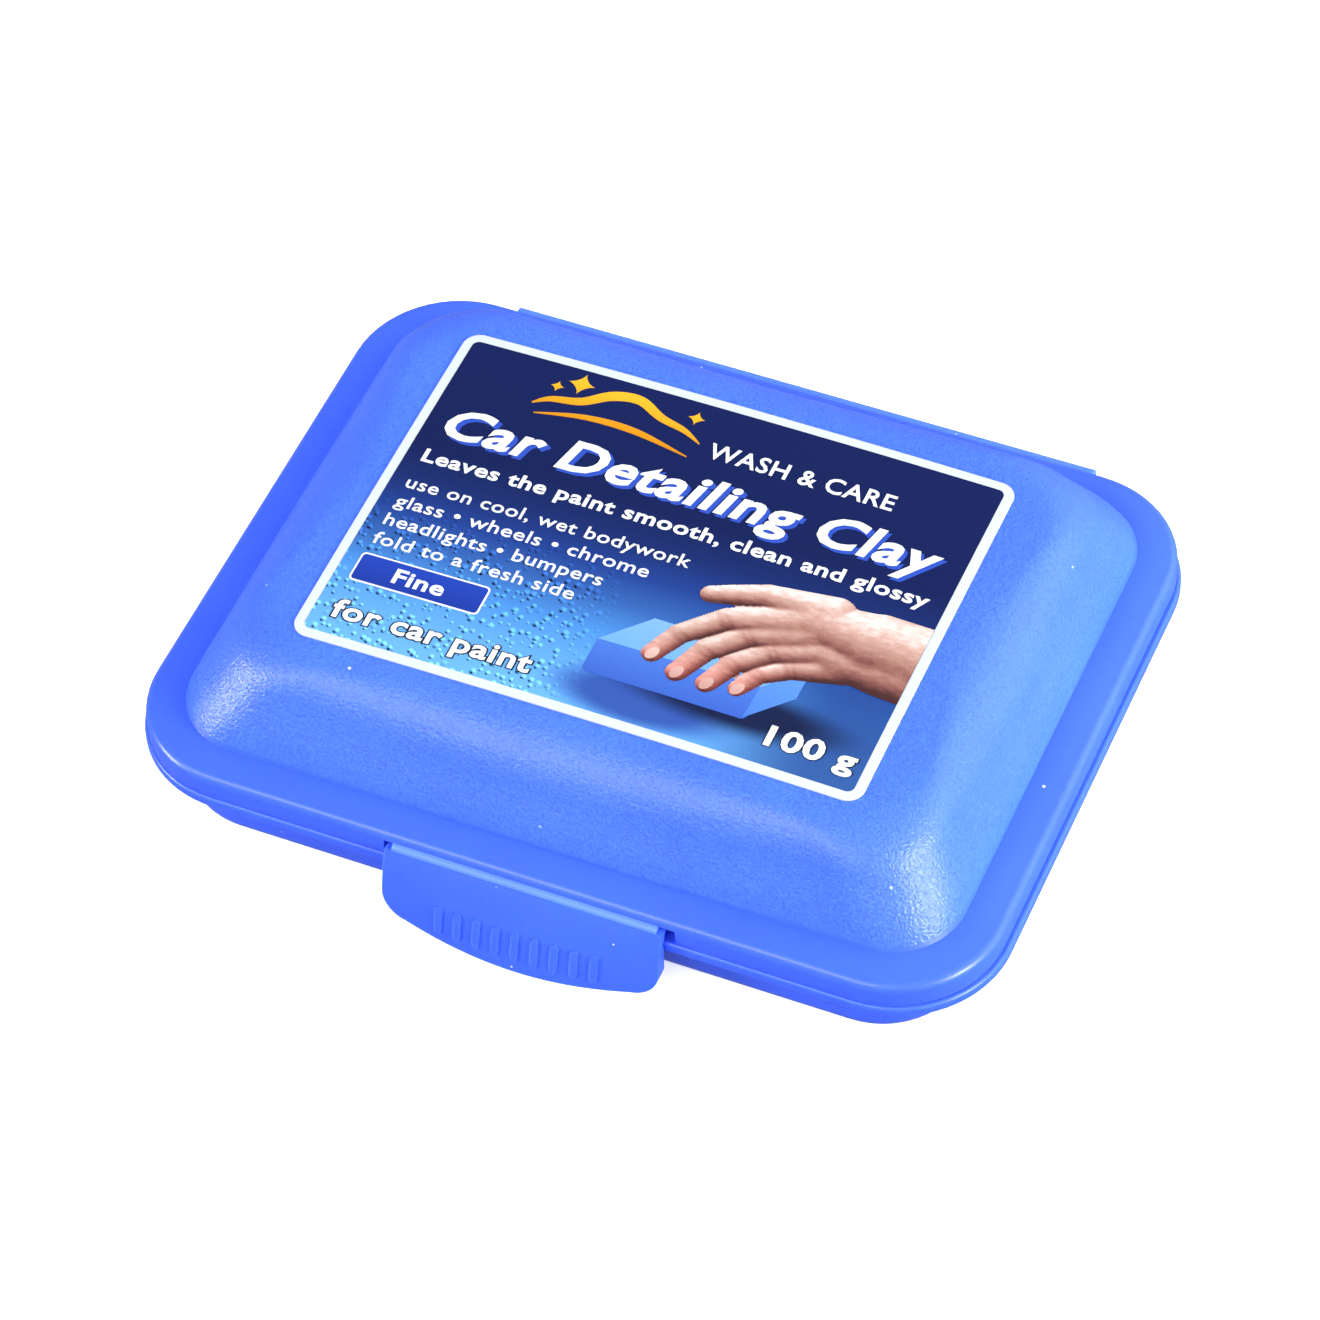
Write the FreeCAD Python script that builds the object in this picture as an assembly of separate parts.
"""Detailing clay in its snap-shut pocket box: a clay bar in film, a moulded box and two labels.

The box is moulded in one piece of polypropylene, with film hinges where it bends, so its tray,
lid, latch flap and the two hinge webs are separate nodes. Millimetres. +Z is up, +X is to the
right along the latch side, the latch is at -Y and the lid's hinge is at +Y. The origin is under
the middle of the whole box, on the surface that it stands on.
"""
import FreeCAD, Part
import math
import os

os.makedirs("parts", exist_ok=True)

# Driving dimensions, all in millimetres unless a name says degrees.
flange_length = 102.0
flange_width = 77.6
flange_corner = 13.1
flange_top = 8.5
flange_thickness = 1.5
flange_edge_round = 0.45
wall = 1.1

tub_floor_length = 92.4
tub_floor_width = 72.0
tub_floor_corner = 9.8
tub_wall_flare = 0.8
tub_edge_round = 2.4
foot_height = 0.5
foot_width = 3.2

rim_height = 1.8
rim_thickness = 0.9
rim_gap = 0.4
rim_root = 0.5

lid_length = 100.8
lid_width = 77.3
lid_corner = 12.6
lid_gap = 0.2
brim_edge_height = 11.9
brim_rise = 0.45
lip_round = 1.1
lip_inner_round = 0.4

dome_length = 92.0
dome_width = 69.2
dome_corner = 8.6
dome_top_corner = 10.0
dome_top = 23.5
dome_wall_degrees = 65.0
dome_shoulder = 9.0
dome_crown_radius = 1300.0

label_length = 66.9
label_width = 48.1
label_corner = 2.0
label_thickness = 0.15
# The lid's label is stuck on by hand, a little to the left of the middle and towards the latch.
label_offset_x = -0.4
label_offset_y = -0.3
base_label_length = 62.0
base_label_width = 42.0
base_label_corner = 4.0

clay_length = 82.0
clay_width = 56.0
clay_height = 14.8
clay_corner = 6.0
clay_edge_round = 2.2
film_thickness = 0.2
film_fin_length = 3.2
film_fin_width = 46.0
clay_rest_gap = 0.1

hinge_length = 72.0
hinge_web = 0.45
hinge_fold_radius = 1.05
hinge_fold_centre = 39.9

flap_half_width = 16.35
# The flap's face at its top, how much further out its sides are at the bottom, and how much
# further its middle bows out at the top and at the bottom.
flap_face = 39.3
flap_swell = 2.1
flap_swell_power = 0.8
flap_top_bow = 0.15
flap_bottom_bow = 1.5
flap_top = 10.3
flap_bottom = 0.8
flap_wall = 1.1
flap_corner = 3.0
flap_bottom_arch = 1.3
flap_gusset_width = 1.0
flap_head = 1.6
# The back of the flap's gussets: upright, then leaning out below the bend.
flap_back = -39.2
flap_back_step = 1.5
flap_back_bend = 3.0
flap_back_lean = 2.4
# The notch in the lid's lip leaves more room on the flap's right than on its left.
notch_left = 16.75
notch_right = 17.6
notch_top = 10.9
notch_depth = 3.0
catch_half_width = 11.0
catch_reach = 1.0
catch_height = 1.2
catch_gap = 0.15
catch_tip_bevel = 0.3
catch_inset = 0.3
catch_ramp = 1.2
catch_ramp_foot = 40.0
catch_root = 41.0
latch_web_half_width = 15.6
latch_web = 0.4
latch_web_lean = 0.45
latch_web_foot_lean = 0.65
latch_web_foot = 0.2
latch_web_undercut = 0.3
latch_web_undercut_height = 0.35
grip_rib_count = 9
grip_rib_pitch = 2.3
grip_rib_width = 0.9
grip_rib_height = 3.4
grip_rib_middle = 4.3
grip_rib_proud = 0.22
grip_rib_end_round = grip_rib_width / 2 - 0.02

# Cutting shapes run a little past what they cut, or far past it.
overshoot = 1.0
far = 20.0
# An outline's edge reaches at least this near to the outline's ends.
edge_margin = 15.0
same_level = 0.01


def rounded_rectangle(length, width, corner, height):
    """A closed wire at the given height, with round corners."""
    x, y = length / 2, width / 2
    lean = corner * (1 - math.cos(math.pi / 4))
    points = []
    for sx, sy, first_along_y in ((1, -1, False), (1, 1, True), (-1, 1, False), (-1, -1, True)):
        along_x = FreeCAD.Vector(sx * (x - corner), sy * y, height)
        along_y = FreeCAD.Vector(sx * x, sy * (y - corner), height)
        middle = FreeCAD.Vector(sx * (x - lean), sy * (y - lean), height)
        points.append((along_y, middle, along_x) if first_along_y else (along_x, middle, along_y))
    edges = []
    for number, (start, middle, end) in enumerate(points):
        next_start = points[(number + 1) % 4][0]
        edges.append(Part.Arc(start, middle, end).toShape())
        edges.append(Part.LineSegment(end, next_start).toShape())
    return Part.Wire(edges)


def prism(length, width, corner, bottom, top):
    """An upright block with a rounded-rectangle outline."""
    outline = Part.Face(rounded_rectangle(length, width, corner, bottom))
    return outline.extrude(FreeCAD.Vector(0, 0, top - bottom))


def taper(lower, upper):
    """A block between two rounded rectangles, each (length, width, corner, height)."""
    return Part.makeLoft([rounded_rectangle(*lower), rounded_rectangle(*upper)], True, True)


def edges_at(shape, height, length, width):
    """The edges that lie at one height and reach as far as the given outline."""
    found = []
    for edge in shape.Edges:
        box = edge.BoundBox
        level = abs(box.ZMin - height) < same_level and abs(box.ZMax - height) < same_level
        reaches_x = max(abs(box.XMin), abs(box.XMax)) > length / 2 - edge_margin
        reaches_y = max(abs(box.YMin), abs(box.YMax)) > width / 2 - edge_margin
        if level and reaches_x and reaches_y:
            found.append(edge)
    return found


def section(points):
    """A face in the YZ plane from (y, z) corners, joined by straight lines."""
    corners = [FreeCAD.Vector(0, y, z) for y, z in points]
    return Part.Face(Part.makePolygon(corners + corners[:1]))


def along_x(face, half_length):
    """The face carried from -half_length to +half_length along X."""
    moved = face.copy()
    moved.translate(FreeCAD.Vector(-half_length, 0, 0))
    return moved.extrude(FreeCAD.Vector(2 * half_length, 0, 0))


def crowned_below(top, radius):
    """Everything in a very large ball whose highest point is at the given height."""
    return Part.makeSphere(radius, FreeCAD.Vector(0, 0, top - radius))


def dome(inset):
    """The lid's raised middle, or with an inset the hollow under it."""
    rise = dome_top - brim_edge_height
    lean = 2 * rise / math.tan(math.radians(dome_wall_degrees))
    foot = (dome_length - 2 * inset, dome_width - 2 * inset, dome_corner - inset / 2, brim_edge_height)
    head = (
        dome_length - lean - 2 * inset,
        dome_width - lean - 2 * inset,
        dome_top_corner - inset / 2,
        dome_top,
    )
    body = taper(foot, head)
    body = body.common(crowned_below(dome_top - inset, dome_crown_radius))
    top_face = max(body.Faces, key=lambda face: face.CenterOfMass.z)
    return body.makeFillet(dome_shoulder - inset, top_face.Edges)


def lid_block(inset, bottom):
    """The lid's brim, lip and dome as one solid, or with an inset the space inside it."""
    length, width = lid_length - 2 * inset, lid_width - 2 * inset
    edge_height = brim_edge_height - inset
    lip = prism(length, width, lid_corner - inset, bottom, edge_height)
    brim_foot = (length, width, lid_corner - inset, edge_height)
    brim_head = (
        dome_length - 2 * inset,
        dome_width - 2 * inset,
        dome_corner - inset / 2,
        edge_height + brim_rise,
    )
    body = lip.fuse(taper(brim_foot, brim_head)).removeSplitter()
    edge_round = lip_round if inset == 0 else lip_inner_round
    body = body.makeFillet(edge_round, edges_at(body, edge_height, length, width))
    raised = dome(inset)
    if inset > 0:
        below = prism(dome_length - 2 * inset, dome_width - 2 * inset, dome_corner - inset / 2,
                      edge_height - overshoot, brim_edge_height)
        raised = raised.fuse(below)
    return body.fuse(raised).removeSplitter()


def make_lid_shell():
    """Dome, brim and lip, open below, with a notch in the front lip for the latch flap."""
    lip_bottom = flange_top + lid_gap
    shell = lid_block(0, lip_bottom).cut(lid_block(wall, lip_bottom - overshoot))
    notch = Part.makeBox(
        notch_left + notch_right, notch_depth + overshoot, notch_top - lip_bottom + overshoot,
        FreeCAD.Vector(-notch_left, -lid_width / 2 - overshoot, lip_bottom - overshoot),
    )
    return shell.cut(notch)


def make_base_tray():
    """Tub, outer flange, the upright rim inside the lid's lip, and the foot ring under the tub."""
    flange_bottom = flange_top - flange_thickness
    flare = 2 * tub_wall_flare
    floor = (tub_floor_length, tub_floor_width, tub_floor_corner, 0)
    mouth = (tub_floor_length + flare, tub_floor_width + flare, tub_floor_corner + tub_wall_flare, flange_top)
    tub = taper(floor, mouth)
    tub = tub.makeFillet(tub_edge_round, edges_at(tub, 0, tub_floor_length, tub_floor_width))
    hollow = taper(
        (floor[0] - 2 * wall, floor[1] - 2 * wall, floor[2] - wall, foot_height + wall),
        (mouth[0] - 2 * wall, mouth[1] - 2 * wall, mouth[2] - wall, flange_top),
    )
    hollow = hollow.makeFillet(
        tub_edge_round - wall, edges_at(hollow, foot_height + wall, tub_floor_length, tub_floor_width)
    )
    flange = prism(flange_length, flange_width, flange_corner, flange_bottom, flange_top)
    flange_edges = edges_at(flange, flange_top, flange_length, flange_width)
    flange_edges += edges_at(flange, flange_bottom, flange_length, flange_width)
    flange = flange.makeFillet(flange_edge_round, flange_edges)
    rim_length = lid_length - 2 * (wall + rim_gap)
    rim_width = lid_width - 2 * (wall + rim_gap)
    rim_corner = lid_corner - wall - rim_gap
    rim_top = flange_top + rim_height
    rim = prism(rim_length, rim_width, rim_corner, flange_top - rim_root, rim_top)
    rim_hollow = prism(
        rim_length - 2 * rim_thickness, rim_width - 2 * rim_thickness, rim_corner - rim_thickness,
        flange_top, rim_top + overshoot,
    )
    panel_length = tub_floor_length - 2 * (tub_edge_round + foot_width)
    panel_width = tub_floor_width - 2 * (tub_edge_round + foot_width)
    panel = prism(panel_length, panel_width, tub_floor_corner / 2, -overshoot, foot_height)
    body = tub.fuse([flange, rim]).cut(rim_hollow).cut(hollow).cut(panel)
    return body.removeSplitter()


def make_rear_hinge():
    """The film web that joins flange and lid, folded outwards in a U while the box is shut."""
    middle = flange_top + lid_gap / 2
    outer = hinge_fold_radius + hinge_web / 2
    inner = hinge_fold_radius - hinge_web / 2
    face_y = flange_width / 2
    lid_y = lid_width / 2

    def point(y, z):
        return FreeCAD.Vector(0, y, z)

    outline = Part.Wire([
        Part.LineSegment(point(face_y, middle - outer), point(hinge_fold_centre, middle - outer)).toShape(),
        Part.Arc(
            point(hinge_fold_centre, middle - outer), point(hinge_fold_centre + outer, middle),
            point(hinge_fold_centre, middle + outer),
        ).toShape(),
        Part.LineSegment(point(hinge_fold_centre, middle + outer), point(lid_y, middle + outer)).toShape(),
        Part.LineSegment(point(lid_y, middle + outer), point(lid_y, middle + inner)).toShape(),
        Part.LineSegment(point(lid_y, middle + inner), point(hinge_fold_centre, middle + inner)).toShape(),
        Part.Arc(
            point(hinge_fold_centre, middle + inner), point(hinge_fold_centre + inner, middle),
            point(hinge_fold_centre, middle - inner),
        ).toShape(),
        Part.LineSegment(point(hinge_fold_centre, middle - inner), point(face_y, middle - inner)).toShape(),
        Part.LineSegment(point(face_y, middle - inner), point(face_y, middle - outer)).toShape(),
    ])
    return along_x(Part.Face(outline), hinge_length / 2)


def flap_profile(height):
    """How far out the flap's face is at its sides and at its middle, at one height."""
    drop = max((flap_top - height) / (flap_top - flap_bottom), 0.0)
    sides = flap_face + flap_swell * abs(math.sin(drop * math.pi / 2)) ** flap_swell_power
    bow = flap_top_bow + flap_bottom_bow * drop
    return sides, sides + bow


def flap_block(outset, half_width, back):
    """The solid between the flap's bowed face and an upright plane behind it."""
    wires = []
    steps = 5
    for step in range(steps + 1):
        height = flap_top - (flap_top - flap_bottom + overshoot) * step / steps
        sides, middle = flap_profile(height)
        left = FreeCAD.Vector(-half_width, -sides - outset, height)
        right = FreeCAD.Vector(half_width, -sides - outset, height)
        front = FreeCAD.Vector(0, -middle - outset, height)
        back_left = FreeCAD.Vector(-half_width, back, height)
        back_right = FreeCAD.Vector(half_width, back, height)
        wires.append(Part.Wire([
            Part.Arc(left, front, right).toShape(),
            Part.LineSegment(right, back_right).toShape(),
            Part.LineSegment(back_right, back_left).toShape(),
            Part.LineSegment(back_left, left).toShape(),
        ]))
    return Part.makeLoft(wires, True, False)


def flap_outline(inset):
    """The flap's front view as a thick plate: square top, round lower corners, arched lower edge."""
    side = flap_half_width - inset
    corner = flap_corner - inset
    low = flap_bottom + flap_bottom_arch + inset
    lowest = flap_bottom + inset
    top = flap_top + (overshoot if inset else 0)
    diagonal = corner * (1 - math.sqrt(0.5))

    def point(x, z):
        return FreeCAD.Vector(x, -flap_face - far / 2, z)

    outline = Part.Wire([
        Part.LineSegment(point(-side, top), point(-side, low + corner)).toShape(),
        Part.Arc(
            point(-side, low + corner), point(-side + diagonal, low + diagonal), point(-side + corner, low)
        ).toShape(),
        Part.Arc(point(-side + corner, low), point(0, lowest), point(side - corner, low)).toShape(),
        Part.Arc(
            point(side - corner, low), point(side - diagonal, low + diagonal), point(side, low + corner)
        ).toShape(),
        Part.LineSegment(point(side, low + corner), point(side, top)).toShape(),
        Part.LineSegment(point(side, top), point(-side, top)).toShape(),
    ])
    return Part.Face(outline).extrude(FreeCAD.Vector(0, far, 0))


def make_latch_flap():
    """A bowed flap with side gussets, a catch behind it and raised grip ribs on its face."""
    top_back = flap_wall - flap_face
    block = flap_block(0, flap_half_width, top_back).common(flap_outline(0))
    behind = section([
        (flap_back, flap_top - flap_back_step), (top_back, flap_top), (top_back + overshoot, flap_top),
        (top_back + overshoot, -far), (flap_back - flap_back_lean, flap_bottom - flap_back_bend),
        (flap_back, flap_back_bend),
    ])
    block = block.cut(along_x(behind, flap_half_width + overshoot))
    pocket = flap_block(-flap_wall, flap_half_width - flap_gusset_width, top_back + overshoot)
    below_head = section([
        (-flap_face - far, flap_top - flap_head), (-flap_face + far, flap_top - flap_head),
        (-flap_face + far, -far), (-flap_face - far, -far),
    ])
    plate = block.cut(pocket.common(along_x(below_head, flap_half_width)))
    catch_top = flange_top - flange_thickness - catch_gap
    catch_bottom = catch_top - catch_height - catch_ramp
    tip = catch_reach - flange_width / 2
    catch = along_x(section([
        (-catch_root, catch_top), (tip - catch_tip_bevel, catch_top), (tip, catch_top - catch_tip_bevel),
        (-catch_ramp_foot, catch_bottom), (-catch_root, catch_bottom),
    ]), catch_half_width)
    catch = catch.common(flap_block(-catch_inset, flap_half_width, tip + overshoot))
    ribs = []
    for number in range(grip_rib_count):
        middle = (number - (grip_rib_count - 1) / 2) * grip_rib_pitch
        low = grip_rib_middle - grip_rib_height / 2
        bar = Part.makeBox(
            grip_rib_width, far, grip_rib_height,
            FreeCAD.Vector(middle - grip_rib_width / 2, overshoot - flap_face - far, low),
        )
        lengthwise = [edge for edge in bar.Edges if edge.BoundBox.YLength > far / 2]
        ribs.append(bar.makeFillet(grip_rib_end_round, lengthwise))
    half_way_in = flap_block(-flap_wall / 2, flap_half_width + overshoot, far / 2 - flap_face)
    skin = flap_block(grip_rib_proud, flap_half_width, flap_back - overshoot).cut(half_way_in)
    raised = skin.common(Part.makeCompound(ribs))
    return plate.fuse(catch).fuse(raised).removeSplitter()


def make_latch_hinge():
    """The thin web that the flap hangs from, between the notch's upper edge and the flap's top."""
    lip_face = -lid_width / 2
    inner = lip_face + latch_web
    return along_x(section([
        (lip_face, notch_top), (lip_face - latch_web_lean, flap_top + latch_web_foot),
        (lip_face - latch_web_foot_lean, flap_top), (inner - latch_web_undercut, flap_top),
        (inner, flap_top + latch_web_undercut_height), (inner, notch_top),
    ]), latch_web_half_width)


def make_lid_label():
    """A printed film that follows the crown of the dome."""
    outer = crowned_below(dome_top + label_thickness, dome_crown_radius + label_thickness)
    stamp = prism(label_length, label_width, label_corner, dome_top - 2 * overshoot, dome_top + overshoot)
    stamp.translate(FreeCAD.Vector(label_offset_x, label_offset_y, 0))
    return stamp.common(outer).cut(crowned_below(dome_top, dome_crown_radius))


def make_base_label():
    """The second label, stuck in the recess inside the foot ring."""
    bottom = foot_height - label_thickness
    return prism(base_label_length, base_label_width, base_label_corner, bottom, foot_height)


def clay_block(outset):
    """The bar as a block with round corners and edges, or the film's outside."""
    bottom = foot_height + wall + clay_rest_gap + film_thickness - outset
    top = bottom + clay_height + 2 * outset
    length, width = clay_length + 2 * outset, clay_width + 2 * outset
    body = prism(length, width, clay_corner + outset, bottom, top)
    level = edges_at(body, bottom, length, width) + edges_at(body, top, length, width)
    return body.makeFillet(clay_edge_round + outset, level)


def make_clay_wrap():
    """Thin film all round the bar, with a flat sealed fin at each end."""
    sleeve = clay_block(film_thickness)
    middle = foot_height + wall + clay_rest_gap + film_thickness + clay_height / 2
    reach = clay_length / 2 + film_thickness + film_fin_length
    fins = Part.makeBox(
        2 * reach, film_fin_width, 2 * film_thickness,
        FreeCAD.Vector(-reach, -film_fin_width / 2, middle - film_thickness),
    )
    return sleeve.fuse(fins).removeSplitter().cut(clay_block(0))


nodes = {
    "base_tray": make_base_tray(),
    "rear_hinge": make_rear_hinge(),
    "base_label": make_base_label(),
    "lid_shell": make_lid_shell(),
    "lid_label": make_lid_label(),
    "latch_hinge": make_latch_hinge(),
    "latch_flap": make_latch_flap(),
    "clay_bar": clay_block(0),
    "clay_wrap": make_clay_wrap(),
}

# The origin goes under the middle of the whole box, latch flap and hinge web included.
whole = Part.makeCompound(list(nodes.values())).optimalBoundingBox()
shift = -(whole.YMin + whole.YMax) / 2
for name, shape in nodes.items():
    shape.translate(FreeCAD.Vector(0, shift, 0))
    box = shape.optimalBoundingBox()
    print(name, "solids", len(shape.Solids), "valid", shape.isValid(), "volume", round(shape.Volume, 1),
          "from", [round(v, 2) for v in (box.XMin, box.YMin, box.ZMin)],
          "to", [round(v, 2) for v in (box.XMax, box.YMax, box.ZMax)])
    shape.exportStep("parts/" + name + ".step")
print("shift along Y", round(shift, 3))
